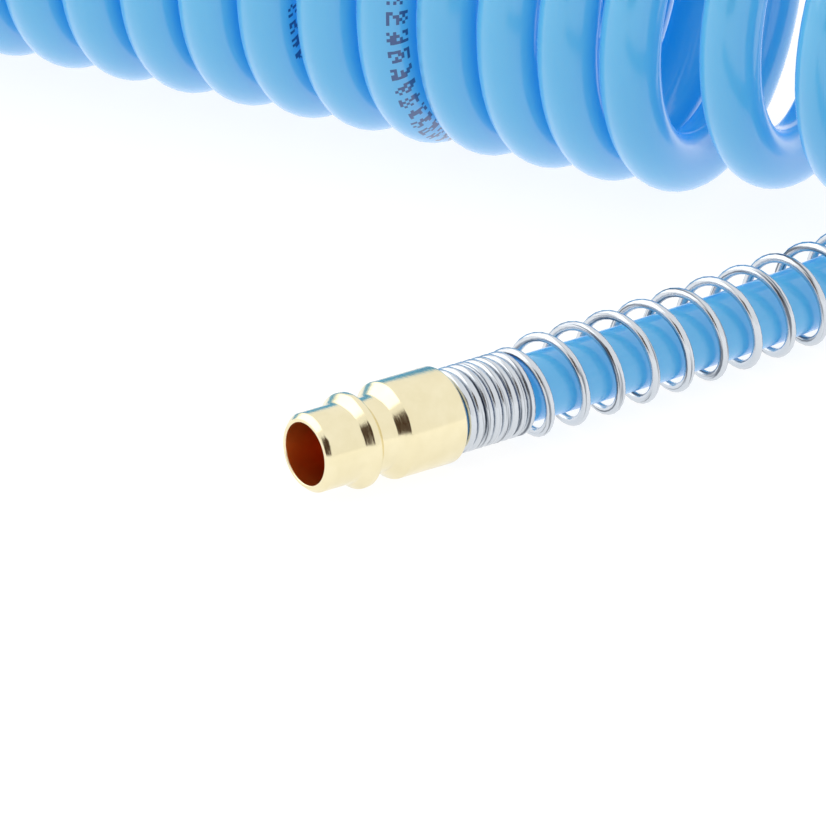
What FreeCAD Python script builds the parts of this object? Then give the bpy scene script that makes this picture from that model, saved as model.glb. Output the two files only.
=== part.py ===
"""Coiled polyurethane air hose with a brass quick-connect plug and a quick-release coupling.

Millimetres, +Z up, standing on Z = 0.  The coil's axis runs along X.  The hose leaves the right end of
the coil towards -Y and ends in the plug; it leaves the left end towards +Y, turns a quarter circle and
ends in the coupling, which lies behind the coil with its mouth towards +X.  Stations on the plug and on
the coupling are counted from the mouth towards the hose, along the local X axis of the piece.
"""
import FreeCAD, Part
import math
import os
import re
import Sketcher
from FreeCAD import Placement, Rotation, Vector

os.makedirs("parts", exist_ok=True)
doc = FreeCAD.newDocument("coiled_air_hose")
sheet = doc.addObject("Spreadsheet::Sheet", "Dimensions")

DRIVING = {
    # hose and coil
    "hose_od": 8.0,
    "hose_bore": 5.0,
    "coil_radius": 24.3,
    "coil_pitch": 8.8,
    "coil_close_turns": 27.0,
    "coil_right": 48.3,
    "coil_wall": 3.0,
    # where the coil's reference ring stands in the part's frame
    "origin_x": -93.911,
    "origin_y": -22.42,
    # plug
    "plug_mouth_x": 13.3,
    "plug_mouth_y": -116.4,
    "plug_yaw": 65.0,
    "plug_nose_radius": 5.25,
    "plug_bore_radius": 4.15,
    "plug_lip_radius": 4.6,
    "plug_lip_length": 0.75,
    "plug_nose_end": 5.7,
    "plug_collar_radius": 6.3,
    "plug_collar_front": 6.9,
    "plug_collar_back": 7.7,
    "plug_groove_radius": 4.95,
    "plug_groove_front": 8.8,
    "plug_groove_back": 11.2,
    "plug_body_radius": 6.4,
    "plug_body_front": 12.6,
    "plug_body_back": 21.5,
    "plug_chamfer": 0.5,
    "plug_bore_depth": 12.0,
    # hose barbs, the same on the plug and on the adapter
    "barb_root_radius": 2.5,
    "barb_crest_radius": 2.85,
    "barb_bore_radius": 1.9,
    "barb_length": 12.0,
    "barb_teeth": 4.0,
    # guard springs
    "guard_wire": 1.25,
    "guard_close_radius": 5.03,
    "guard_open_radius": 5.92,
    "guard_close_turns": 8.0,
    "guard_open_turns": 11.0,
    "guard_close_pitch": 1.33,
    "guard_open_pitch": 5.68,
    "guard_pitch_ramp": 0.5,
    "guard_radius_ramp": 0.65,
    "guard_bend_radius": 650.0,
    # coupling
    "coupling_mouth_x": -73.0,
    "coupling_y": 62.0,
    "coupling_z": 11.5,
    "socket_radius": 6.55,
    "socket_depth": 8.3,
    "nose_bore_radius": 5.35,
    "valve_seat": 13.0,
    "chamber_radius": 6.9,
    "chamber_end": 22.0,
    "thread_radius": 7.4,
    "barrel_radius": 8.25,
    "barrel_end": 21.0,
    "shoulder_radius": 9.9,
    "body_end": 28.0,
    "ring_front": 0.7,
    "ring_back": 1.9,
    "ring_groove_radius": 7.6,
    "ring_outer_radius": 9.1,
    "ring_slot_width": 1.5,
    "ball_station": 4.0,
    "ball_radius": 1.5,
    "ball_seat": 6.75,
    "ball_count": 6.0,
    "ball_clearance": 0.05,
    "sleeve_front": -1.6,
    "sleeve_end": 22.5,
    "sleeve_radius": 11.5,
    "sleeve_land_radius": 8.45,
    "sleeve_land_end": 7.8,
    "sleeve_recess_radius": 9.85,
    "sleeve_chamber_radius": 10.2,
    "grip_groove_first": 4.0,
    "grip_groove_spacing": 2.0,
    "grip_groove_count": 5.0,
    "grip_groove_depth": 0.4,
    "sleeve_wire": 0.8,
    "sleeve_spring_turns": 5.0,
    "valve_wire": 0.7,
    "valve_spring_turns": 6.0,
    "poppet_front": 9.5,
    "poppet_nose_radius": 4.85,
    "poppet_bore_radius": 3.25,
    "cross_hole_station": 11.5,
    "cross_hole_radius": 1.2,
    "valve_seal_thickness": 0.5,
    "poppet_head_radius": 6.4,
    "poppet_head_back": 15.2,
    "poppet_stem_radius": 4.15,
    "poppet_stem_end": 18.0,
    "spring_seat": 26.0,
    "spring_seat_radius": 5.6,
    "hex_flats": 19.0,
    "hex_front": 28.5,
    "hex_back": 35.0,
    "hex_chamfer": 1.0,
    "hex_corner_radius": 11.0,
    "gasket_radius": 9.5,
    "mouth_ring_station": 10.3,
    "mouth_ring_section": 0.95,
    "gap": 0.05,
}

for row, (alias, value) in enumerate(DRIVING.items(), start=1):
    sheet.set("A%d" % row, alias.replace("_", " "))
    sheet.set("B%d" % row, str(value))
    sheet.setAlias("B%d" % row, alias)
doc.recompute()


def size(alias):
    """Value of one cell of the sheet."""
    return float(sheet.get(alias))


def bound(formula):
    """Formula of cell names, written as references to the sheet."""
    return re.sub(r"[a-z][a-z_]+", r"Dimensions.\g<0>", formula)


def worth(formula):
    """Number that a formula of cell names stands for."""
    return float(sheet.evalExpression(bound(formula)))


SUBPARTS = []


def keep(thing, label, placement):
    """Name a finished sub-part, put it in its place and list it for export."""
    thing.Label = label
    thing.Placement = placement
    SUBPARTS.append(thing)


def spot(x, y, z):
    """Point given from the coil's reference ring, in the part's frame."""
    return Vector(x - size("origin_x"), y - size("origin_y"), z)


def hold(sketch, kind, axis, corner, formula, value):
    """Bind one coordinate of an outline's corner to its formula; zero lies on the axis itself."""
    if formula == "0":
        sketch.addConstraint(Sketcher.Constraint("PointOnObject", corner, 1, axis))
        return
    number = sketch.addConstraint(Sketcher.Constraint(kind, -1, 1, corner, 1, value))
    sketch.setExpression("Constraints[%d]" % number, bound(formula))


def turned(name, outline):
    """Body turned about its local X axis from a closed outline of (station, radius) formulas."""
    body = doc.addObject("PartDesign::Body", name + "_turned")
    plane = [entry for entry in body.Origin.OriginFeatures if entry.Role == "XY_Plane"][0]
    sketch = body.newObject("Sketcher::SketchObject", name + "_outline")
    sketch.AttachmentSupport = (plane, [""])
    sketch.MapMode = "FlatFace"
    corners = [Vector(worth(station), worth(radius), 0) for station, radius in outline]
    for corner, start in enumerate(corners):
        sketch.addGeometry(Part.LineSegment(start, corners[(corner + 1) % len(corners)]), False)
    for corner in range(len(corners)):
        after = (corner + 1) % len(corners)
        sketch.addConstraint(Sketcher.Constraint("Coincident", corner, 2, after, 1))
    for corner, (station, radius) in enumerate(outline):
        hold(sketch, "DistanceX", -2, corner, station, corners[corner].x)
        hold(sketch, "DistanceY", -1, corner, radius, corners[corner].y)
    turn = body.newObject("PartDesign::Revolution", name + "_turn")
    turn.Profile = sketch
    turn.ReferenceAxis = (sketch, ["H_Axis"])
    turn.Angle = 360.0
    doc.recompute()
    return body


def primitive(kind, name, placement, **formulas):
    """Part primitive whose sizes are bound to formulas of the sheet."""
    thing = doc.addObject("Part::" + kind, name)
    for prop, formula in formulas.items():
        thing.setExpression(prop, bound(formula))
    thing.Placement = placement
    return thing


def boolean(kind, name, base, tool):
    """Cut or common of two objects."""
    result = doc.addObject("Part::" + kind, name)
    result.Base = base
    result.Tool = tool
    return result


def fused(name, pieces):
    """Pieces joined into one."""
    result = doc.addObject("Part::MultiFuse", name)
    result.Shapes = pieces
    return result


def tube_outline(front, back, inner, outer):
    """Outline of a plain ring or tube."""
    return [(front, inner), (front, outer), (back, outer), (back, inner)]


def barbs(start):
    """Outside corners of a barbed stem: each tooth stands up sharply and tapers towards the hose."""
    corners = []
    teeth = int(size("barb_teeth"))
    for tooth in range(teeth):
        corners.append(("%s + barb_length * %d / barb_teeth" % (start, tooth), "barb_crest_radius"))
        corners.append(("%s + barb_length * %d / barb_teeth" % (start, tooth + 1), "barb_root_radius"))
    corners.append((start + " + barb_length", "barb_bore_radius"))
    return corners


ALONG_X = Rotation(Vector(0, 1, 0), 90)
PLUG_HEIGHT = size("guard_open_radius") + size("guard_wire") / 2
PLUG = Placement(spot(size("plug_mouth_x"), size("plug_mouth_y"), PLUG_HEIGHT),
                 Rotation(Vector(0, 0, 1), size("plug_yaw")))
COUPLING = Placement(spot(size("coupling_mouth_x"), size("coupling_y"), size("coupling_z")),
                     Rotation(Vector(0, 0, 1), 180))


# Plug: one turned brass piece, bored from the mouth, with the hose barb behind its body.
plug_outline = [
    ("0", "plug_bore_radius"),
    ("0", "plug_lip_radius"),
    ("plug_lip_length", "plug_nose_radius"),
    ("plug_nose_end", "plug_nose_radius"),
    ("plug_collar_front", "plug_collar_radius"),
    ("plug_collar_back", "plug_collar_radius"),
    ("plug_groove_front", "plug_groove_radius"),
    ("plug_groove_back", "plug_groove_radius"),
    ("plug_body_front", "plug_body_radius"),
    ("plug_body_back - plug_chamfer", "plug_body_radius"),
    ("plug_body_back", "plug_body_radius - plug_chamfer"),
]
plug_outline += barbs("plug_body_back")
plug_outline += [
    ("plug_bore_depth + plug_bore_radius - barb_bore_radius", "barb_bore_radius"),
    ("plug_bore_depth", "plug_bore_radius"),
]
keep(turned("plug", plug_outline), "plug_body", PLUG)


# Coupling body: turned brass barrel with six radial ball holes through its socket wall.
half_ring = "mouth_ring_section + gap"
coupling_outline = [
    ("0", "socket_radius"),
    ("0", "barrel_radius"),
    ("ring_front - gap", "barrel_radius"),
    ("ring_front - gap", "ring_groove_radius"),
    ("ring_back + gap", "ring_groove_radius"),
    ("ring_back + gap", "barrel_radius"),
    ("barrel_end", "barrel_radius"),
    ("barrel_end", "shoulder_radius"),
    ("body_end", "shoulder_radius"),
    ("body_end", "thread_radius"),
    ("chamber_end", "thread_radius"),
    ("chamber_end", "chamber_radius"),
    ("valve_seat", "chamber_radius"),
    ("valve_seat", "nose_bore_radius"),
    ("mouth_ring_station + " + half_ring, "nose_bore_radius"),
    ("mouth_ring_station + " + half_ring, "chamber_radius + 2 * gap"),
    ("mouth_ring_station - mouth_ring_section - gap", "chamber_radius + 2 * gap"),
    ("mouth_ring_station - mouth_ring_section - gap", "nose_bore_radius"),
    ("socket_depth", "nose_bore_radius"),
    ("socket_depth", "socket_radius"),
]
ball_holes = []
for number in range(int(size("ball_count"))):
    turn = Rotation(Vector(1, 0, 0), 360.0 * number / size("ball_count"))
    place = Placement(Vector(size("ball_station"), 0, 0), turn)
    ball_holes.append(primitive("Cylinder", "ball_hole_%d" % (number + 1), place,
                                Height="shoulder_radius", Radius="ball_radius + ball_clearance"))
barrel = turned("coupling", coupling_outline)
keep(boolean("Cut", "coupling_barrel", barrel, fused("ball_holes", ball_holes)), "coupling_body", COUPLING)

# Locking balls: hardened steel, each in its own hole, resting in the plug's groove when coupled.
for number in range(int(size("ball_count"))):
    turn = Rotation(Vector(1, 0, 0), 360.0 * number / size("ball_count"))
    seat = Vector(size("ball_station"), 0, 0) + turn.multVec(Vector(0, 0, size("ball_seat")))
    ball = primitive("Sphere", "ball_%d" % (number + 1), Placement(), Radius="ball_radius")
    keep(ball, "locking_ball_%d" % (number + 1), COUPLING.multiply(Placement(seat, Rotation())))

# Release sleeve: slides back on the barrel; a land holds the balls in, a ramped recess lets them out.
sleeve_outline = [
    ("sleeve_front", "sleeve_recess_radius"),
    ("sleeve_front", "sleeve_radius - 2 * grip_groove_depth"),
    ("sleeve_front + 2 * grip_groove_depth", "sleeve_radius"),
]
for groove in range(int(size("grip_groove_count"))):
    front = "sleeve_front + grip_groove_first + %d * grip_groove_spacing" % groove
    sleeve_outline += [
        (front, "sleeve_radius"),
        (front + " + grip_groove_depth", "sleeve_radius - grip_groove_depth"),
        (front + " + 2 * grip_groove_depth", "sleeve_radius - grip_groove_depth"),
        (front + " + 3 * grip_groove_depth", "sleeve_radius"),
    ]
sleeve_outline += [
    ("sleeve_end - 2 * grip_groove_depth", "sleeve_radius"),
    ("sleeve_end", "sleeve_radius - 2 * grip_groove_depth"),
    ("sleeve_end", "sleeve_chamber_radius"),
    ("sleeve_land_end", "sleeve_chamber_radius"),
    ("sleeve_land_end", "sleeve_land_radius"),
    ("ball_station", "sleeve_land_radius"),
    ("0", "sleeve_recess_radius"),
]
keep(turned("sleeve", sleeve_outline), "release_sleeve", COUPLING)

# Retaining ring: sprung open ring in the barrel's front groove, the stop of the sleeve.
ring_outline = tube_outline("ring_front", "ring_back", "ring_groove_radius + gap", "ring_outer_radius")
ring = turned("ring", ring_outline)
slot_place = Placement(Vector(0, -size("ring_slot_width") / 2, 0), Rotation())
ring_slot = primitive("Box", "ring_slot", slot_place,
                      Length="ring_back + ring_front", Width="ring_slot_width", Height="shoulder_radius")
keep(boolean("Cut", "open_ring", ring, ring_slot), "retaining_ring", COUPLING)

# Mouth seal: rubber ring that grips the plug's nose.
mouth_ring = primitive("Torus", "mouth_ring", Placement(),
                       Radius1="chamber_radius + gap - mouth_ring_section",
                       Radius2="mouth_ring_section")
mouth_place = COUPLING.multiply(Placement(Vector(size("mouth_ring_station"), 0, 0), ALONG_X))
keep(mouth_ring, "mouth_seal", mouth_place)

# Valve poppet: turned brass, pushed open by the plug's nose; air enters through its cross holes.
seal_back = "valve_seat + gap + valve_seal_thickness"
poppet_outline = [
    ("poppet_front", "poppet_bore_radius"),
    ("poppet_front", "poppet_nose_radius"),
    (seal_back, "poppet_nose_radius"),
    (seal_back, "poppet_head_radius"),
    ("poppet_head_back", "poppet_head_radius"),
    ("poppet_head_back", "poppet_stem_radius"),
    ("poppet_stem_end", "poppet_stem_radius"),
    ("poppet_stem_end", "0"),
    ("valve_seat", "0"),
    ("valve_seat", "poppet_bore_radius"),
]
cross_holes = []
for angle in (0, 90):
    place = Placement(Vector(size("cross_hole_station"), 0, 0), Rotation(Vector(1, 0, 0), angle))
    place = place.multiply(Placement(Vector(0, 0, -size("shoulder_radius")), Rotation()))
    cross_holes.append(primitive("Cylinder", "cross_hole_%d" % angle, place,
                                 Height="2 * shoulder_radius", Radius="cross_hole_radius"))
keep(boolean("Cut", "bored_poppet", turned("poppet", poppet_outline), fused("cross_holes", cross_holes)),
     "valve_poppet", COUPLING)

# Valve seal: flat rubber ring on the poppet's shoulder, closing on the barrel's seat.
keep(turned("seal", tube_outline("valve_seat + gap / 2", seal_back,
                                 "poppet_nose_radius + gap", "poppet_head_radius")),
     "valve_seal", COUPLING)

# Gasket and adapter: the adapter screws into the barrel; its barb carries the hose.
keep(turned("gasket", tube_outline("body_end", "hex_front", "thread_radius + gap", "gasket_radius")),
     "adapter_gasket", COUPLING)
spigot_outline = [
    ("chamber_end + 4 * gap", "spring_seat_radius"),
    ("chamber_end + 4 * gap", "thread_radius - gap"),
    ("hex_front + hex_chamfer", "thread_radius - gap"),
    ("hex_front + hex_chamfer", "barb_crest_radius"),
]
spigot_outline += barbs("hex_back")
spigot_outline += [
    ("spring_seat", "barb_bore_radius"),
    ("spring_seat", "spring_seat_radius"),
]
blank_outline = [
    ("hex_front", "barb_bore_radius"),
    ("hex_front", "hex_flats / 2"),
    ("hex_front + hex_chamfer", "hex_corner_radius"),
    ("hex_back - hex_chamfer", "hex_corner_radius"),
    ("hex_back", "hex_flats / 2"),
    ("hex_back", "barb_bore_radius"),
]
prism = primitive("Prism", "hex_prism", Placement(Vector(size("hex_front"), 0, 0), ALONG_X),
                  Circumradius="hex_flats / 3 ^ 0.5", Height="hex_back - hex_front")
hexagon = boolean("Common", "hex_nut", turned("hex_blank", blank_outline), prism)
keep(fused("barbed_adapter", [turned("spigot", spigot_outline), hexagon]), "coupling_adapter", COUPLING)


def straight(distance):
    """Point and direction across a straight axis along local X, a distance from its start."""
    return Vector(distance, 0, 0), Vector(0, 1, 0)


def bent(distance):
    """Point and direction across an axis that bends gently towards local +Y, on a large circle."""
    radius = size("guard_bend_radius")
    angle = distance / radius
    across = Vector(-math.sin(angle), math.cos(angle), 0)
    return Vector(radius * math.sin(angle), radius * (1 - math.cos(angle)), 0), across


STEPS_PER_TURN = 12


def spring(name, axis, wire, profile, turns):
    """Wire wound round an axis: profile gives the pitch and the radius at any number of turns."""
    points = []
    distance = 0.0
    for step in range(int(turns * STEPS_PER_TURN) + 1):
        turn = step / STEPS_PER_TURN
        pitch, radius = profile(turn)
        centre, across = axis(distance)
        angle = 2 * math.pi * turn
        points.append(centre + across * (radius * math.cos(angle)) + Vector(0, 0, radius * math.sin(angle)))
        distance += pitch / STEPS_PER_TURN
    curve = Part.BSplineCurve()
    curve.interpolate(points)
    path = Part.Wire([curve.toShape()])
    section = Part.Wire([Part.Circle(points[0], curve.tangent(curve.FirstParameter)[0], wire / 2).toShape()])
    thing = doc.addObject("Part::Feature", name)
    thing.Shape = path.makePipeShell([section], True, True)
    wire_volume = path.Length * math.pi * wire ** 2 / 4
    print(name, "wire volume", round(thing.Shape.Volume, 1), "of", round(wire_volume, 1))
    return thing


def eased(low, high, share):
    """Smooth step from low to high as share goes from 0 to 1."""
    share = min(1.0, max(0.0, share))
    return low + (high - low) * share * share * (3 - 2 * share)


def guard_profile(turn):
    """Close turns that grip the hose on its barb, then wide open turns, the last one closed."""
    share = turn - size("guard_close_turns")
    ending = size("guard_close_turns") + size("guard_open_turns") - turn
    opened = min(share, ending) / size("guard_pitch_ramp")
    pitch = eased(size("guard_close_pitch"), size("guard_open_pitch"), opened)
    widened = share / size("guard_radius_ramp")
    return pitch, eased(size("guard_close_radius"), size("guard_open_radius"), widened)


def seated_profile(turns, length, wire, radius):
    """Compression spring with a closed turn at each end."""
    closed = wire + size("gap") / 2
    pitch = (length - wire - 2 * closed) / (turns - 2)

    def profile(turn):
        return (closed if turn < 1 or turn >= turns - 1 else pitch), radius
    return profile


# Springs of the coupling: the sleeve spring pushes the sleeve forward, the valve spring shuts the poppet.
wire = size("sleeve_wire")
front = size("sleeve_land_end") + size("gap") + wire / 2
length = size("barrel_end") - size("sleeve_land_end") - 2 * size("gap")
mean_radius = (size("barrel_radius") + size("sleeve_chamber_radius")) / 2
turns = size("sleeve_spring_turns")
keep(spring("sleeve_wire", straight, wire, seated_profile(turns, length, wire, mean_radius), turns),
     "sleeve_spring", COUPLING.multiply(Placement(Vector(front, 0, 0), Rotation())))
wire = size("valve_wire")
front = size("poppet_head_back") + size("gap") + wire / 2
length = size("spring_seat") - size("poppet_head_back") - 2 * size("gap")
mean_radius = size("poppet_stem_radius") + size("gap") + wire / 2
turns = size("valve_spring_turns")
keep(spring("valve_wire", straight, wire, seated_profile(turns, length, wire, mean_radius), turns),
     "valve_spring", COUPLING.multiply(Placement(Vector(front, 0, 0), Rotation())))

# Guard springs: plated steel wire, wound close over the hose on its barb and open beyond it.
guard_turns = size("guard_close_turns") + size("guard_open_turns")
wire = size("guard_wire")
for label, end, station, roll in (("plug_guard_spring", PLUG, "plug_body_back", 0),
                                  ("coupling_guard_spring", COUPLING, "hex_back", -90)):
    place = end.multiply(Placement(Vector(size(station) + wire / 2 + size("gap"), 0, 0),
                                   Rotation(Vector(1, 0, 0), roll)))
    keep(spring(label + "_wire", bent, wire, guard_profile, guard_turns), label, place)


ARC_SHARE = 0.45


def cord_path(route):
    """Straight runs joined by tangent arcs, each arc as large as its two runs allow."""
    edges = []
    start = route[0]
    for before, corner, after in zip(route, route[1:], route[2:]):
        back = (before - corner).normalize()
        ahead = (after - corner).normalize()
        half_turn = (math.pi - back.getAngle(ahead)) / 2
        trim = ARC_SHARE * min((before - corner).Length, (after - corner).Length)
        radius = trim / math.tan(half_turn)
        print("  arc radius", round(radius, 1), "at a turn of", round(math.degrees(2 * half_turn), 1))
        entry = corner + back * trim
        leave = corner + ahead * trim
        centre = corner + (back + ahead).normalize() * math.hypot(trim, radius)
        middle = centre + (corner - centre).normalize() * radius
        edges.append(Part.LineSegment(start, entry).toShape())
        edges.append(Part.Arc(entry, middle, leave).toShape())
        start = leave
    edges.append(Part.LineSegment(start, route[-1]).toShape())
    return Part.Wire(edges)


def hose_tail(name, route):
    """Plain hose along a route that starts on a barb."""
    print(name)
    path = cord_path(route)
    ahead = (route[1] - route[0]).normalize()
    walls = []
    for diameter in (size("hose_od"), size("hose_bore")):
        ring = Part.Wire([Part.Circle(route[0], ahead, diameter / 2).toShape()])
        walls.append(path.makePipeShell([ring], True, False))
    tube = walls[0].cut(walls[1])
    section = math.pi * (size("hose_od") ** 2 - size("hose_bore") ** 2) / 4
    swept = section * path.Length
    print("  length", round(path.Length, 1), "volume", round(tube.Volume), "of", round(swept))
    thing = doc.addObject("Part::Feature", name)
    thing.Shape = tube
    return thing


# Hose: one tube in reality; here its two tails and the outer shape of its coil.
hose_rest = size("hose_od") / 2
coil_left = -size("coil_pitch") * size("coil_close_turns")
plug_tail = [
    PLUG.multVec(Vector(size("plug_body_back") + size("gap"), 0, 0)),
    spot(27.5, -86.0, 6.5),
    spot(35.5, -67.7, 6.3),
    spot(43.4, -47.2, 6.1),
    spot(48.9, -30.0, 6.1),
    spot(50.3, -17.7, 6.3),
    spot(49.9, -8.9, 6.5),
    spot(48.3, 0.0, 6.6),
]
keep(hose_tail("hose_plug_end", plug_tail), "hose_tail_plug", Placement())
coupling_tail = [
    COUPLING.multVec(Vector(size("hex_back") + size("gap"), 0, 0)),
    spot(-123.5, 62.0, 11.3),
    spot(-145.5, 61.9, 10.2),
    spot(-165.5, 61.6, 8.4),
    spot(-185.3, 61.1, 6.2),
    spot(-205.2, 58.7, 4.4),
    spot(-222.1, 50.1, 4.0),
    spot(-234.1, 35.3, 4.0),
    spot(-239.0, 16.9, 4.0),
    spot(coil_left, 0.0, hose_rest),
]
keep(hose_tail("hose_coupling_end", coupling_tail), "hose_tail_coupling", Placement())

coil_length = "coil_right + coil_pitch * coil_close_turns + hose_od"
outside = primitive("Cylinder", "coil_outside", Placement(), Height=coil_length,
                    Radius="coil_radius + hose_od / 2")
inside = primitive("Cylinder", "coil_inside", Placement(), Height=coil_length,
                   Radius="coil_radius + hose_od / 2 - coil_wall")
coil_end = spot(coil_left - hose_rest, 0, size("coil_radius") + hose_rest)
keep(boolean("Cut", "coil_tube", outside, inside), "hose_coil", Placement(coil_end, ALONG_X))


doc.recompute()
for thing in doc.Objects:
    if "Invalid" in thing.State or "Error" in thing.State:
        raise RuntimeError("failed object " + thing.Name)
overall = FreeCAD.BoundBox()
for thing in SUBPARTS:
    shape = thing.Shape
    if shape.isNull() or not shape.isValid() or not shape.Solids:
        raise RuntimeError("bad shape " + thing.Label)
    overall.add(shape.optimalBoundingBox())
    shape.exportStep("parts/%s.step" % thing.Label)
    print(thing.Label, len(shape.Solids), "solid, volume", round(shape.Volume, 1))
print("sub-parts", len(SUBPARTS), "box", overall)
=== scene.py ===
import bpy
import numpy as np
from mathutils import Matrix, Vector


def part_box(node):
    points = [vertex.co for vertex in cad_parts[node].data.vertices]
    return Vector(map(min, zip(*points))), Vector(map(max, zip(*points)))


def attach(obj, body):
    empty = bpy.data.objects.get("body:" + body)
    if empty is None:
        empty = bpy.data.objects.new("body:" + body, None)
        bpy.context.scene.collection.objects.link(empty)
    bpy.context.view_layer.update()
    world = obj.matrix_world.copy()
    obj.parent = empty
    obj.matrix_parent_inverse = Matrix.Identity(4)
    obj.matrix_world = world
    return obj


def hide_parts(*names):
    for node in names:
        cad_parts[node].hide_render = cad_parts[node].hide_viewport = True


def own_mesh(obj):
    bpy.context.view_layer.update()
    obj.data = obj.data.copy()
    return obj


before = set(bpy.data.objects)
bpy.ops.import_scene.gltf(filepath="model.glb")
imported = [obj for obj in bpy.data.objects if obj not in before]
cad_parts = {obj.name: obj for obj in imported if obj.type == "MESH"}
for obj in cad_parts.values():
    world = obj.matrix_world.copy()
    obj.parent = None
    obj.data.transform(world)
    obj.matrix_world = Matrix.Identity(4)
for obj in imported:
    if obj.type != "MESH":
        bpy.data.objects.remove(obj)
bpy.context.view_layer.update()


# The hose.  One 5 m length of extruded polyurethane tube, 8 mm outside and 5 mm inside, wound hot on a
# mandrel so that it springs back into a close coil.  Its last turns stand open and a little lifted where
# the plug's end was pulled out; each end sits over a barb and is 8.7 mm thick there and in its guard.

hose_diameter = 0.008
coil_low, coil_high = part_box("hose_coil")
coil_axis = np.array([0.0, (coil_low.y + coil_high.y) / 2, (coil_low.z + coil_high.z) / 2])
winding_radius = (coil_high.z - coil_low.z - hose_diameter) / 2
close_turns = 27
close_pitch = 0.0088
ring_x = coil_low.x + hose_diameter / 2 + close_turns * close_pitch
steps_per_turn = 16
hose_sides = 28

turn_knots = [0, 27, 28, 28.25, 28.5, 29, 29.5, 30, 31]
turn_x = [-0.2376, 0.0, 0.0089, 0.0110, 0.0142, 0.0231, 0.0272, 0.0361, 0.0483]
turn_lift = [0, 0, 0, 0.0003, 0.0008, 0.0020, 0.0026, 0.0032, 0.0014]
turn_shrink = [0, 0, 0, 0.0005, 0.0008, 0.0013, 0.00125, 0.0012, 0.0012]

plug_end_route = [(0.02241, -0.09687, 0.006545), (0.0275, -0.0860, 0.0065), (0.0355, -0.0677, 0.0063),
                  (0.0434, -0.0472, 0.0061), (0.0489, -0.0300, 0.0061), (0.0503, -0.0177, 0.0063),
                  (0.0499, -0.0089, 0.0065), (0.0483, 0.0, 0.0066)]
coupling_end_route = [(-0.2376, 0.0, 0.0040), (-0.2390, 0.0169, 0.0040), (-0.2341, 0.0353, 0.0040),
                      (-0.2221, 0.0501, 0.0040), (-0.2052, 0.0587, 0.0044), (-0.1853, 0.0611, 0.0062),
                      (-0.1655, 0.0616, 0.0084), (-0.1455, 0.0619, 0.0102), (-0.1235, 0.0620, 0.0113),
                      (-0.10805, 0.0620, 0.0115)]


def in_place(point):
    """Point given from the coil's reference ring, in the part's frame: x and y shifted, z kept."""
    return (point[0] + ring_x, point[1] + coil_axis[1], point[2])


def coil_turns():
    """Control points of the winding from its right end to its left end: x, the lift of the turn's centre
    and the loss of radius are read along the turns, while y and z go round a circle, down at the front
    and up at the back.  The circle is drawn a little larger, so that the curve inside its points fits."""
    turn = np.arange(turn_knots[-1] * steps_per_turn - 1, 0, -1) / steps_per_turn
    angle = 2 * np.pi * turn
    radius = (winding_radius - np.interp(turn, turn_knots, turn_shrink)) / np.cos(np.pi / steps_per_turn)
    x = ring_x + np.interp(turn, turn_knots, turn_x)
    lift = np.interp(turn, turn_knots, turn_lift)
    y = coil_axis[1] - radius * np.sin(angle)
    z = coil_axis[2] + lift - radius * np.cos(angle)
    return [tuple(row) for row in np.stack((x, y, z), 1).tolist()]


def spline_points(name, route, resolution):
    """Points along a NURBS curve of order 3 that has the route's points as its control points."""
    curve = bpy.data.curves.new(name, "CURVE")
    curve.dimensions = "3D"
    spline = curve.splines.new("NURBS")
    spline.points.add(len(route) - 1)
    spline.points.foreach_set("co", np.column_stack((route, np.ones(len(route)))).ravel())
    spline.order_u = 3
    spline.use_endpoint_u = True
    spline.resolution_u = resolution
    holder = bpy.data.objects.new(name, curve)
    bpy.context.scene.collection.objects.link(holder)
    bpy.context.view_layer.update()
    line = bpy.data.meshes.new_from_object(holder.evaluated_get(bpy.context.evaluated_depsgraph_get()))
    points = np.empty(len(line.vertices) * 3)
    line.vertices.foreach_get("co", points)
    bpy.data.objects.remove(holder)
    return points.reshape(-1, 3)


def unit(vectors):
    """Each row divided by its length."""
    return vectors / np.linalg.norm(vectors, axis=-1, keepdims=True)


def along(path):
    """Distance from the start of the path to each of its points."""
    return np.concatenate(([0.0], np.cumsum(np.linalg.norm(np.diff(path, axis=0), axis=1))))


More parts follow.
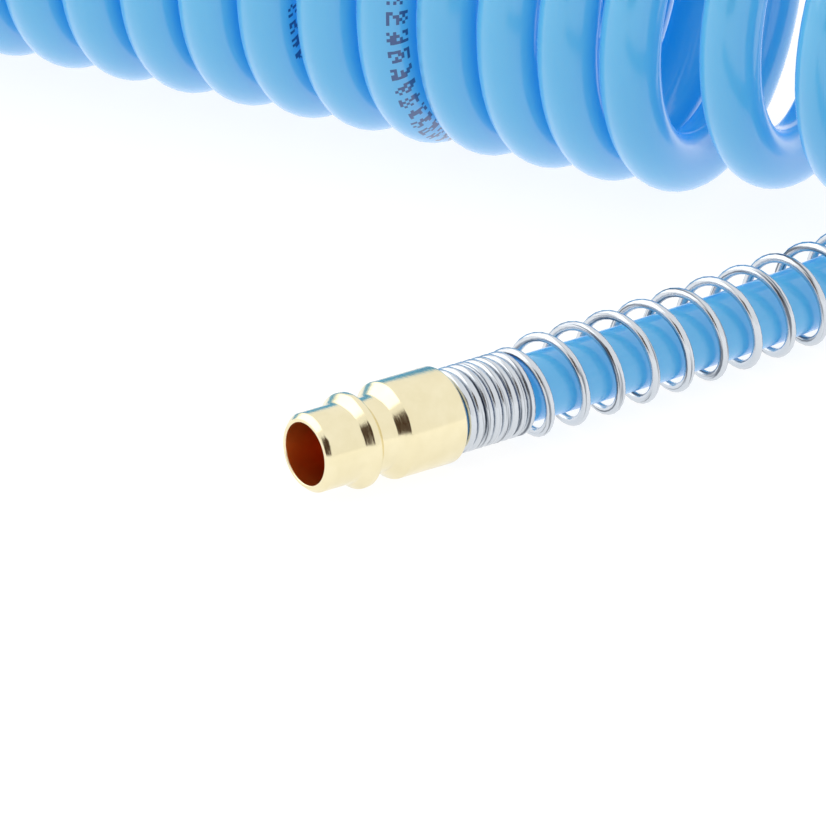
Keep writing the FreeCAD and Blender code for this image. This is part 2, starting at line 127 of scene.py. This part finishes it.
def surface(name, grid, uv=None, looped=False):
    """Closed mesh from a grid of points: rows run along, columns run around.  Two ends are filled with
    one face each, or the last row joins the first when looped.  uv has one more column, and when looped
    one more row, than the grid.  Faces are turned outward by the sign of the enclosed volume."""
    rows, columns = grid.shape[:2]
    here = np.arange(rows * columns).reshape(rows, columns)
    lower = here if looped else here[:-1]
    upper = np.roll(here, -1, axis=0) if looped else here[1:]
    ring = (lower, np.roll(lower, -1, axis=1), np.roll(upper, -1, axis=1), upper)
    quads = np.stack(ring, axis=-1).reshape(-1, 4)
    faces = [quads] if looped else [quads, here[0, ::-1], here[-1]]
    corners = [np.stack((uv[:-1, :-1], uv[:-1, 1:], uv[1:, 1:], uv[1:, :-1]), axis=2).reshape(-1, 2)]
    corners += [] if looped else [uv[0, -2::-1], uv[-1, :-1]]
    sizes = np.concatenate([np.full(len(quads), 4)] + ([] if looped else [np.full(2, columns)]))
    loops = np.concatenate([face.ravel() for face in faces])
    corners = np.concatenate(corners)
    points = grid.reshape(-1, 3)
    p, q, r, t = (points[quads[:, k]] - points.mean(axis=0) for k in range(4))
    enclosed = np.sum(p * np.cross(q, r)) + np.sum(p * np.cross(r, t))
    starts = np.cumsum(sizes) - sizes
    if enclosed < 0:
        flip = np.repeat(starts + sizes - 1, sizes) - (np.arange(len(loops)) - np.repeat(starts, sizes))
        loops, corners = loops[flip], corners[flip]
    mesh = bpy.data.meshes.new(name)
    mesh.vertices.add(len(points))
    mesh.vertices.foreach_set("co", points.ravel())
    mesh.loops.add(len(loops))
    mesh.loops.foreach_set("vertex_index", loops)
    mesh.polygons.add(len(starts))
    mesh.polygons.foreach_set("loop_start", starts)
    mesh.polygons.foreach_set("use_smooth", np.ones(len(starts), bool))
    mesh.uv_layers.new(name="length").data.foreach_set("uv", corners.ravel())
    mesh.update(calc_edges=True)
    mesh.validate()
    piece = bpy.data.objects.new(name, mesh)
    bpy.context.scene.collection.objects.link(piece)
    return piece


def tube(name, path, radius, sides, across):
    """Round bar along a path: centre + radius (first cos a + second sin a); uv is the share of the way
    round and the distance along in metres."""
    angle = 2 * np.pi * np.arange(sides) / sides
    first, second = across
    rim = first[:, None] * np.cos(angle)[None, :, None] + second[:, None] * np.sin(angle)[None, :, None]
    grid = path[:, None] + rim * np.broadcast_to(radius, len(path))[:, None, None]
    uv = np.stack(np.broadcast_arrays(np.linspace(0, 1, sides + 1)[None, :], along(path)[:, None]), axis=-1)
    return surface(name, grid, uv)


hose_route = [in_place(point) for point in plug_end_route] + coil_turns()
hose_route += [in_place(point) for point in coupling_end_route]
hose_line = spline_points("hose_line", hose_route, 4)
hose_distance = along(hose_line)
hose_length = hose_distance[-1]
tangent = unit(np.gradient(hose_line, axis=0))
winding_end = in_place(coupling_end_route[0])
first = np.array([1.0, 0, 0]) - tangent[:, :1] * tangent
level = np.cross(tangent, [0, 0, 1.0])
beyond_winding = np.arange(len(hose_line)) > np.argmin(np.linalg.norm(hose_line - winding_end, axis=1))
first = unit(np.where(beyond_winding[:, None], level, first))
from_end = np.minimum(hose_distance, hose_length - hose_distance)
stretch, stretched_length, taper_length = 0.00035, 0.088, 0.010
fade = np.clip((stretched_length - from_end) / taper_length, 0, 1)
hose_radius = hose_diameter / 2 + stretch * fade * fade * (3 - 2 * fade)
hose = tube("hose", hose_line, hose_radius, hose_sides, (first, np.cross(tangent, first)))
print("hose length", round(hose_length, 4), "points", len(hose_line), "faces", len(hose.data.polygons))


def linear(code):
    """Linear colour of an sRGB hex code."""
    value = np.array([int(code[i:i + 2], 16) for i in (1, 3, 5)]) / 255
    value = np.where(value <= 0.04045, value / 12.92, ((value + 0.055) / 1.055) ** 2.4)
    return (*value.tolist(), 1.0)


def add(tree, kind, inputs=None, **settings):
    """Node of a kind with its settings; inputs gives a socket's value, or the output that feeds it."""
    made = tree.nodes.new(kind)
    for key, value in settings.items():
        setattr(made, key, value)
    for socket, value in (inputs or {}).items():
        if isinstance(value, bpy.types.Node):
            value = value.outputs[0]
        if isinstance(value, bpy.types.NodeSocket):
            tree.links.new(value, made.inputs[socket])
        else:
            made.inputs[socket].default_value = value
    return made


def sums(tree, operation, *values):
    """Math node of an operation on its values, each a number or a node."""
    return add(tree, "ShaderNodeMath", dict(enumerate(values)), operation=operation)


def noise(tree, vector, scale, detail):
    """Noise over a vector, which is a node or one of its outputs."""
    return add(tree, "ShaderNodeTexNoise", {"Vector": vector, "Scale": scale, "Detail": detail})


def blend(tree, factor, first_colour, second_colour):
    """Colour mix from the first to the second, each a colour or the output that gives it."""
    colours = {"Factor": factor, "A": first_colour, "B": second_colour}
    return add(tree, "ShaderNodeMix", colours, data_type="RGBA")


def material(name):
    """Empty node material and its tree."""
    made = bpy.data.materials.new(name)
    made.use_nodes = True
    made.node_tree.nodes.clear()
    return made, made.node_tree


def finish_material(tree, shader):
    """Lead the shader to the material's output."""
    add(tree, "ShaderNodeOutputMaterial", {"Surface": shader.outputs[0]})


polyurethane, tree = material("tinted_polyurethane")
# Clear blue tint under a soft gloss: pale where it turns away, deep blue where turns face one another.
coordinates = add(tree, "ShaderNodeTexCoord")
grain = noise(tree, coordinates.outputs["Object"], 2500.0, 2.0)
bump = add(tree, "ShaderNodeBump", {"Height": grain, "Strength": 0.06, "Distance": 0.0001})
cloud = noise(tree, coordinates.outputs["Object"], 60.0, 1.0)
tint = blend(tree, cloud, linear("#5A9D98"), linear("#559690"))
printed_turn = in_place((-3 * close_pitch, 0, hose_diameter / 2))
print_before = 0.07
nearest = np.argmin(np.linalg.norm(hose_line - printed_turn, axis=1))
print_start = float(hose_distance[nearest]) - print_before
print_length, second_start, second_length = 0.12, 0.31, 0.0405
print_dot, print_side, print_drift = 0.00044, 0.13, -0.40
half_height, blank_share, letter_pitch, letter_width = 3.5, 0.42, 6.0, 3.5
# Dot-matrix ink marks without any character in them, in a line that drifts round the hose as it winds.
place = add(tree, "ShaderNodeSeparateXYZ", {0: add(tree, "ShaderNodeUVMap", uv_map="length")})
repeat = sums(tree, "FRACT", sums(tree, "SUBTRACT", place.outputs["Y"], print_start))
twist = sums(tree, "MULTIPLY", sums(tree, "SUBTRACT", place.outputs["Y"], print_start), print_drift)
sideways = sums(tree, "SUBTRACT", sums(tree, "SUBTRACT", place.outputs["X"], print_side), twist)
sideways = sums(tree, "SUBTRACT", sums(tree, "FRACT", sums(tree, "ADD", sideways, 0.5)), 0.5)
column = sums(tree, "DIVIDE", repeat, print_dot)
row = sums(tree, "MULTIPLY", sideways, np.pi * hose_diameter / print_dot)
row = sums(tree, "ADD", row, half_height)
cell = add(tree, "ShaderNodeCombineXYZ", {0: sums(tree, "FLOOR", column), 1: sums(tree, "FLOOR", row)})
chance = add(tree, "ShaderNodeTexWhiteNoise", {"Vector": cell}, noise_dimensions="2D")
ink = sums(tree, "GREATER_THAN", chance, blank_share)
in_letter = sums(tree, "MODULO", sums(tree, "FLOOR", column), letter_pitch)
ink = sums(tree, "MULTIPLY", ink, sums(tree, "LESS_THAN", in_letter, letter_width))
from_middle = sums(tree, "ABSOLUTE", sums(tree, "SUBTRACT", row, half_height))
ink = sums(tree, "MULTIPLY", ink, sums(tree, "LESS_THAN", from_middle, half_height))
second = sums(tree, "COMPARE", repeat, second_start + second_length / 2)
second.inputs[2].default_value = second_length / 2
ink = sums(tree, "MULTIPLY", ink, sums(tree, "ADD", sums(tree, "LESS_THAN", repeat, print_length), second))
ink = sums(tree, "MULTIPLY", ink, 0.9)
inked = blend(tree, ink, tint.outputs["Result"], linear("#1B2F6B"))
# A clear wall carries light round the turns, which a blue emission imitates: lower it for a dark scene.
glow = blend(tree, ink, linear("#005AB0"), linear("#000C22"))
finish_material(tree, add(tree, "ShaderNodeBsdfPrincipled", {
    "Base Color": inked.outputs["Result"], "Roughness": 0.2, "IOR": 1.5, "Normal": bump,
    "Emission Color": glow.outputs["Result"], "Emission Strength": 1.0,
    "Sheen Weight": 0.1, "Sheen Roughness": 0.35, "Coat Weight": 0.5, "Coat Roughness": 0.1, "Coat IOR": 1.6,
    "Subsurface Weight": 0.5, "Subsurface Scale": 0.003, "Subsurface Radius": (0.4, 0.9, 1.6)}))
hose.data.materials.append(polyurethane)
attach(hose, "hose")
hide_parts("hose_coil", "hose_tail_plug", "hose_tail_coupling")


# The plug.  One piece of brass turned on a lathe and bright dipped, 10.5 mm at the nose, with the ring
# that the balls lock behind; it is bored from the mouth, and its barb is hidden in the hose.

corner_points = 5
plug_sides = 128
plug_yaw = np.radians(65.0)
plug_mouth = np.array(in_place((0.0133, -0.1164, 0.006545)))
plug_ahead = np.array([np.cos(plug_yaw), np.sin(plug_yaw), 0])
plug_aside = np.array([-np.sin(plug_yaw), np.cos(plug_yaw), 0])
plug_frame = (plug_ahead, plug_aside, np.array([0, 0, 1.0]))
plug_outline = [(0, 4.15), (0, 4.6), (0.75, 5.25), (5.7, 5.25), (6.9, 6.3), (7.7, 6.3), (8.8, 4.95),
                (11.2, 4.95), (12.6, 6.4), (21.0, 6.4), (21.5, 5.9), (21.5, 2.85), (24.5, 2.5),
                (24.5, 2.85), (27.5, 2.5), (27.5, 2.85), (30.5, 2.5), (30.5, 2.85), (33.5, 2.5),
                (33.5, 1.9), (14.25, 1.9), (12, 4.15)]


def rounded(outline, reach):
    """Closed outline with each corner drawn as a short curve that starts and ends the reach away, or less
    beside short edges: (1-t)^2 before + 2t(1-t) corner + t^2 after."""
    corner = np.array(outline, float)
    before = np.roll(corner, 1, axis=0) - corner
    after = np.roll(corner, -1, axis=0) - corner
    cut_before = np.minimum(reach, 0.4 * np.linalg.norm(before, axis=1))[:, None] * unit(before)
    cut_after = np.minimum(reach, 0.4 * np.linalg.norm(after, axis=1))[:, None] * unit(after)
    share = np.linspace(0, 1, corner_points)[None, :, None]
    curve = (1 - share) ** 2 * cut_before[:, None] + share ** 2 * cut_after[:, None]
    return (corner[:, None] + curve).reshape(-1, 2)


def lathe(name, outline, origin, axes, sides, relief=None):
    """Ring turned from a closed outline in millimetres: origin + station along + radius (side cos a +
    up sin a).  relief lowers the radius by an amount for each point of the outline and angle."""
    angle = 2 * np.pi * np.arange(sides) / sides
    station, radius = outline[:, :1] / 1000, outline[:, 1:] / 1000
    if relief is not None:
        radius = radius - relief(outline, angle) / 1000
    axis, side, up = axes
    grid = origin + station[..., None] * axis
    grid = grid + (radius * np.cos(angle))[..., None] * side + (radius * np.sin(angle))[..., None] * up
    distance = along(np.concatenate((outline, outline[:1])) / 1000)
    uv = np.stack(np.broadcast_arrays(np.linspace(0, 1, sides + 1)[None, :], distance[:, None]), axis=-1)
    return surface(name, grid, uv, looped=True)


def turned_metal(name, colour, dull, roughness, cut, pattern="UV"):
    """Lathe-turned metal: bright, with fine rings from the tool and a faint change of tone in patches."""
    made, tree = material(name)
    if pattern == "UV":
        flat_map = add(tree, "ShaderNodeUVMap", uv_map="length")
        lay = add(tree, "ShaderNodeMapping", {0: flat_map, "Scale": (3.0, 5500.0, 1.0)})
    else:
        space = add(tree, "ShaderNodeTexCoord").outputs["Object"]
        lay = add(tree, "ShaderNodeMapping", {0: space, "Scale": (5500.0, 150.0, 150.0)})
    rings = noise(tree, lay, 1.0, 3.0)
    coordinates = add(tree, "ShaderNodeTexCoord")
    patches = noise(tree, coordinates.outputs["Object"], 350.0, 4.0)
    tone = blend(tree, patches, linear(colour), linear(dull))
    worn = add(tree, "ShaderNodeMapRange",
               {"Value": rings, "To Min": roughness * 0.75, "To Max": roughness * 1.35})
    edge = add(tree, "ShaderNodeBevel", {"Radius": 0.0001}, samples=4)
    bump = add(tree, "ShaderNodeBump",
               {"Height": rings, "Strength": cut, "Distance": 0.00004, "Normal": edge})
    finish_material(tree, add(tree, "ShaderNodeBsdfPrincipled", {
        "Base Color": tone.outputs["Result"], "Metallic": 1.0, "Roughness": worn, "Normal": bump,
        "Anisotropic": 0.3}))
    return made


plug = lathe("plug", rounded(plug_outline, 0.18), plug_mouth, plug_frame, plug_sides)
plug.data.materials.append(turned_metal("bright_dipped_brass", "#F7EDCB", "#E9DDB4", 0.15, 0.6))
# The bore's brass is partly real, a rougher cut, and partly painted shade: its deeper orange stands in for
# light bounced round inside the bore.
plug.data.materials.append(turned_metal("bore_brass_painted_shade", "#F09A48", "#DA8236", 0.36, 0.5))
# The outline's last three corners, and the wall that leads back to its first, are the bore.
outline_row = np.arange(len(plug.data.polygons)) // plug_sides
painted_shade_bore_rows = outline_row >= corner_points * (len(plug_outline) - 3)
plug.data.polygons.foreach_set("material_index", painted_shade_bore_rows.astype(np.int32))
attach(plug, "hose")
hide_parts("plug_body")


# The guard springs.  Bright zinc-plated steel wire, 1.25 mm thick, wound close where it grips the hose on
# its barb and open beyond, so that the hose can't kink; the axis bends gently with the hose.

guard_wire = 0.00125
wire_sides = 16
wire_steps = 32
guard_close_turns, guard_open_turns = 8.0, 11.0
guard_bend = 0.650


def eased(low, high, share):
    """Smooth step from low to high as share goes from 0 to 1."""
    share = np.clip(share, 0, 1)
    return low + (high - low) * share * share * (3 - 2 * share)


def wound(name, wire, turn, pitch, radius, origin, axes, bend=None):
    """Wire round an axis: the distance gained is the sum of the pitch, the radius follows the turn, and
    a bent axis runs on a large circle towards its side.  Both cut ends are a little narrowed."""
    distance = np.concatenate(([0.0], np.cumsum(pitch[:-1] * np.diff(turn))))
    angle = 2 * np.pi * turn
    axis, side, up = axes
    swing = distance / bend if bend else np.zeros_like(distance)
    ahead = bend * np.sin(swing) if bend else distance
    aside = bend * (1 - np.cos(swing)) if bend else swing
    across = -np.sin(swing)[:, None] * axis + np.cos(swing)[:, None] * side
    centre = origin + ahead[:, None] * axis + aside[:, None] * side
    path = centre + (radius * np.cos(angle))[:, None] * across + (radius * np.sin(angle))[:, None] * up
    tangent = unit(np.gradient(path, axis=0))
    first = unit(axis - (tangent @ axis)[:, None] * tangent)
    thickness = np.full(len(turn), wire / 2)
    thickness[[0, -1]] *= 0.8
    return tube(name, path, thickness, wire_sides, (first, np.cross(tangent, first)))


drawn_steel, tree = material("zinc_plated_spring_wire")
# Bright plating over drawn wire: pale metal. Its darker streaks along the wire are painted reflections of
# dark surroundings, and the same streak noise also roughens and bumps the wire.
flat_map = add(tree, "ShaderNodeUVMap", uv_map="length")
lay = add(tree, "ShaderNodeMapping", {0: flat_map, "Scale": (7.0, 60.0, 1.0)})
streaks = noise(tree, lay, 1.0, 3.0)
bump = add(tree, "ShaderNodeBump", {"Height": streaks, "Strength": 0.4, "Distance": 0.00005})
worn = add(tree, "ShaderNodeMapRange", {"Value": streaks, "To Min": 0.14, "To Max": 0.3})
# Painted reflection: where the streak noise runs high, the wire turns dark grey in place of dark lines
# reflected from the room.
painted_reflection_lines = add(tree, "ShaderNodeMapRange", {"Value": streaks, "From Min": 0.54, "From Max": 0.64})
tone = blend(tree, painted_reflection_lines, linear("#D3D8DE"), linear("#6B727C"))
finish_material(tree, add(tree, "ShaderNodeBsdfPrincipled", {
    "Base Color": tone.outputs["Result"], "Metallic": 1.0, "Roughness": worn, "Normal": bump}))

guard_turn = np.arange(int((guard_close_turns + guard_open_turns) * wire_steps) + 1) / wire_steps
opened = np.minimum(guard_turn - guard_close_turns, guard_close_turns + guard_open_turns - guard_turn)
guard_pitch = eased(0.00133, 0.00568, opened / 0.5)
guard_radius = eased(0.00503, 0.00592, (guard_turn - guard_close_turns) / 0.65)
coupling_mouth = np.array(in_place((-0.0730, 0.0620, 0.0115)))
coupling_frame = (np.array([-1.0, 0, 0]), np.array([0, 0, -1.0]), np.array([0, -1.0, 0]))
for label, mouth, axes, seat in (("plug_guard", plug_mouth, plug_frame, 0.0215),
                                 ("coupling_guard", coupling_mouth, coupling_frame, 0.0350)):
    origin = mouth + axes[0] * (seat + guard_wire / 2 + 0.00005)
    guard = wound(label, guard_wire, guard_turn, guard_pitch, guard_radius, origin, axes, guard_bend)
    guard.data.materials.append(drawn_steel)
    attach(guard, "hose")
    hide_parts(label + "_spring")


# The release sleeve.  Turned brass ring that slides on the coupling's barrel, with five grip grooves and a
# fine straight knurl behind them; the land inside it holds the locking balls in.

sleeve_sides = 360
sleeve_outline = [(-1.6, 9.85), (-1.6, 10.7), (-0.8, 11.5)]
for groove in range(5):
    front = 2.4 + 2 * groove
    sleeve_outline += [(front, 11.5), (front + 0.4, 11.1), (front + 0.8, 11.1), (front + 1.2, 11.5)]
sleeve_outline += [(21.7, 11.5), (22.5, 10.7), (22.5, 10.2), (7.8, 10.2), (7.8, 8.45), (4, 8.45), (0, 9.85)]


def knurl(outline, angle):
    """Depth of straight knurling: 90 rounded teeth, 0.16 mm deep, behind the grooves on the outside."""
    band = (outline[:, 1] > 11.3) & (outline[:, 0] > 13.4) & (outline[:, 0] < 20.6)
    return band[:, None] * 0.08 * (1 - np.cos(90 * angle))[None, :]


sleeve_outline = rounded(sleeve_outline, 0.15)
knurl_edges = np.array([[13.3, 11.5], [13.5, 11.5], [20.5, 11.5], [20.7, 11.5]])
last_groove = int(np.flatnonzero((sleeve_outline[:, 0] < 13) & (sleeve_outline[:, 1] > 11.3))[-1])
sleeve_outline = np.insert(sleeve_outline, last_groove + 1, knurl_edges, axis=0)
sleeve = lathe("sleeve", sleeve_outline, coupling_mouth, coupling_frame, sleeve_sides, knurl)
sleeve.data.materials.append(turned_metal("knurled_brass", "#F6EBC8", "#E6D9AE", 0.22, 0.4))
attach(sleeve, "sleeve")
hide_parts("release_sleeve")


# The coupling's springs.  Thin drawn steel wire: one pushes the sleeve forward on the barrel, the other
# shuts the valve; both are pressed together as their piece slides back.

inner_wire, tree = material("oiled_spring_wire")
# Drawn wire under a film of oil: darker than the plated guards, with soft streaks along the wire.
flat_map = add(tree, "ShaderNodeUVMap", uv_map="length")
lay = add(tree, "ShaderNodeMapping", {0: flat_map, "Scale": (10.0, 400.0, 1.0)})
streaks = noise(tree, lay, 1.0, 3.0)
tone = blend(tree, streaks, linear("#A7ABB0"), linear("#83878D"))
finish_material(tree, add(tree, "ShaderNodeBsdfPrincipled", {
    "Base Color": tone.outputs["Result"], "Metallic": 1.0, "Roughness": 0.3,
    "Normal": add(tree, "ShaderNodeBump", {"Height": streaks, "Strength": 0.3, "Distance": 0.00003})}))
for label, wire, turns, start, end, radius, joint in (
        ("sleeve_return", 0.0008, 5.0, 0.0078, 0.0210, 0.009225, "sleeve_slide"),
        ("valve_return", 0.0007, 6.0, 0.0152, 0.0260, 0.00455, "valve_slide")):
    turn = np.arange(int(turns * wire_steps) + 1) / wire_steps
    closed = wire + 0.000025
    open_pitch = (end - start - 0.0001 - wire - 2 * closed) / (turns - 2)
    pitch = np.where((turn < 1) | (turn >= turns - 1), closed, open_pitch)
    origin = coupling_mouth + coupling_frame[0] * (start + 0.00005 + wire / 2)
    coil = wound(label, wire, turn, pitch, np.full(len(turn), radius), origin, coupling_frame)
    coil.data.materials.append(inner_wire)
    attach(coil, "hose")
    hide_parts(joint.replace("_slide", "_spring"))
    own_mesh(coil)


# The coupling's turned pieces: barrel with the ball holes, screwed-in adapter with its hexagon, and the
# valve poppet.  All are brass; the barrel and the poppet show only in the mouth.

machined = turned_metal("machined_brass", "#F5E9C4", "#E4D6A8", 0.22, 0.4, pattern="Object")
for node in ("coupling_body", "coupling_adapter", "valve_poppet"):
    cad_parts[node].data.materials.clear()
    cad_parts[node].data.materials.append(machined)


# The small hard pieces: six ground steel balls in the barrel's holes, and the sprung ring that stops the
# sleeve.

polished, tree = material("ground_ball_steel")
# Hardened and ground: nearly a mirror, with a faintly uneven polish.
coordinates = add(tree, "ShaderNodeTexCoord")
scratches = noise(tree, coordinates.outputs["Object"], 4000.0, 4.0)
worn = add(tree, "ShaderNodeMapRange", {"Value": scratches, "To Min": 0.05, "To Max": 0.16})
finish_material(tree, add(tree, "ShaderNodeBsdfPrincipled", {
    "Base Color": linear("#C9CCD1"), "Metallic": 1.0, "Roughness": worn}))
for number in range(1, 7):
    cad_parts["locking_ball_%d" % number].data.materials.clear()
    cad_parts["locking_ball_%d" % number].data.materials.append(polished)

stop_steel, tree = material("blued_ring_steel")
# Spring steel with a thin dark oxide of uneven tone.
coordinates = add(tree, "ShaderNodeTexCoord")
grain = noise(tree, coordinates.outputs["Object"], 1800.0, 4.0)
tone = blend(tree, grain, linear("#8E9298"), linear("#5F636B"))
finish_material(tree, add(tree, "ShaderNodeBsdfPrincipled", {
    "Base Color": tone.outputs["Result"], "Metallic": 1.0, "Roughness": 0.32,
    "Normal": add(tree, "ShaderNodeBump", {"Height": grain, "Strength": 0.2, "Distance": 0.00002})}))
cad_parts["retaining_ring"].data.materials.clear()
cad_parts["retaining_ring"].data.materials.append(stop_steel)


# The seals: a moulded rubber ring that grips the plug's nose, a flat ring on the poppet, and the gasket
# pressed between the barrel and the adapter.

rubber, tree = material("moulded_nitrile_rubber")
# Black rubber: soft grey sheen and a faint mould grain.
coordinates = add(tree, "ShaderNodeTexCoord")
grain = noise(tree, coordinates.outputs["Object"], 3000.0, 3.0)
tone = blend(tree, grain, linear("#17181A"), linear("#2C2D30"))
finish_material(tree, add(tree, "ShaderNodeBsdfPrincipled", {
    "Base Color": tone.outputs["Result"], "Roughness": 0.55, "Sheen Weight": 0.2,
    "Normal": add(tree, "ShaderNodeBump", {"Height": grain, "Strength": 0.25, "Distance": 0.00003})}))
for node in ("mouth_seal", "valve_seal", "adapter_gasket"):
    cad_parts[node].data.materials.clear()
    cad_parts[node].data.materials.append(rubber)


# Camera and studio stage: a pale lit table, an even bright room, and one broad soft light from the left.

camera_data = bpy.data.cameras.new("camera")
camera = bpy.data.objects.new("camera", camera_data)
bpy.context.scene.collection.objects.link(camera)
camera_data.lens = 1600
camera_data.sensor_width = 36
camera_data.clip_end = 20
aim = Vector(in_place((0.01206, -0.08498, 0.0)))
azimuth, elevation = np.radians(28.2), np.radians(23.4)
back = Vector((np.sin(azimuth) * np.cos(elevation), -np.cos(azimuth) * np.cos(elevation), np.sin(elevation)))
camera.location = aim + back * 4.683
camera.rotation_mode = "QUATERNION"
camera.rotation_quaternion = (-back).to_track_quat("-Z", "Y")
bpy.context.scene.camera = camera


def flat(name, corners, shader_inputs, material_name):
    """One four-cornered face with a plain material, part of the studio."""
    mesh = bpy.data.meshes.new(name)
    mesh.from_pydata(corners, [], [(0, 1, 2, 3)])
    card = bpy.data.objects.new(name, mesh)
    bpy.context.scene.collection.objects.link(card)
    made, tree = material(material_name)
    finish_material(tree, add(tree, "ShaderNodeBsdfPrincipled", shader_inputs))
    mesh.materials.append(made)
    return card


reach = 4.0
# The table gives off light itself, so that the ground is white with hardly a shadow.
flat("floor", [(-reach, -reach, 0), (reach, -reach, 0), (reach, reach, 0), (-reach, reach, 0)],
     {"Base Color": (0.17, 0.17, 0.17, 1), "Roughness": 0.9,
      "Emission Color": (1, 1, 1, 1), "Emission Strength": 0.88}, "lit_table")
# Dark opening of the light tent on the camera's side, seen only as streaks in the polished metal.
opening = plug_mouth + 1.2 * np.array([0.17, -0.92, 0.29])
aside, upward = np.array([0.34, 0.06, 0]), np.array([0, 0.15, 0.50])
corners = [tuple(opening + x * aside + y * upward) for x, y in ((-1, -1), (1, -1), (1, 1), (-1, 1))]
card = flat("tent_opening", corners,
            {"Base Color": (0, 0, 0, 1), "Roughness": 1.0,
             "Emission Color": linear("#3A2003"), "Emission Strength": 1.0}, "dark_opening")
card.visible_camera = False
card.visible_diffuse = False
card.visible_shadow = False
card.visible_transmission = False

world = bpy.data.worlds.new("studio")
bpy.context.scene.world = world
world.use_nodes = True
world.node_tree.nodes["Background"].inputs["Color"].default_value = (1, 1, 1, 1)
world.node_tree.nodes["Background"].inputs["Strength"].default_value = 1.0

window_light = bpy.data.lights.new("left_window", "AREA")
window_light.shape = "RECTANGLE"
window_light.size = 2.4
window_light.size_y = 2.0
window_light.energy = 12
window = bpy.data.objects.new("left_window", window_light)
bpy.context.scene.collection.objects.link(window)
window.location = (-1.2, -0.4, 1.1)
window.rotation_mode = "QUATERNION"
window.rotation_quaternion = (Vector((0.05, -0.02, 0)) - window.location).to_track_quat("-Z", "Y")

bpy.context.scene.view_settings.view_transform = "Standard"
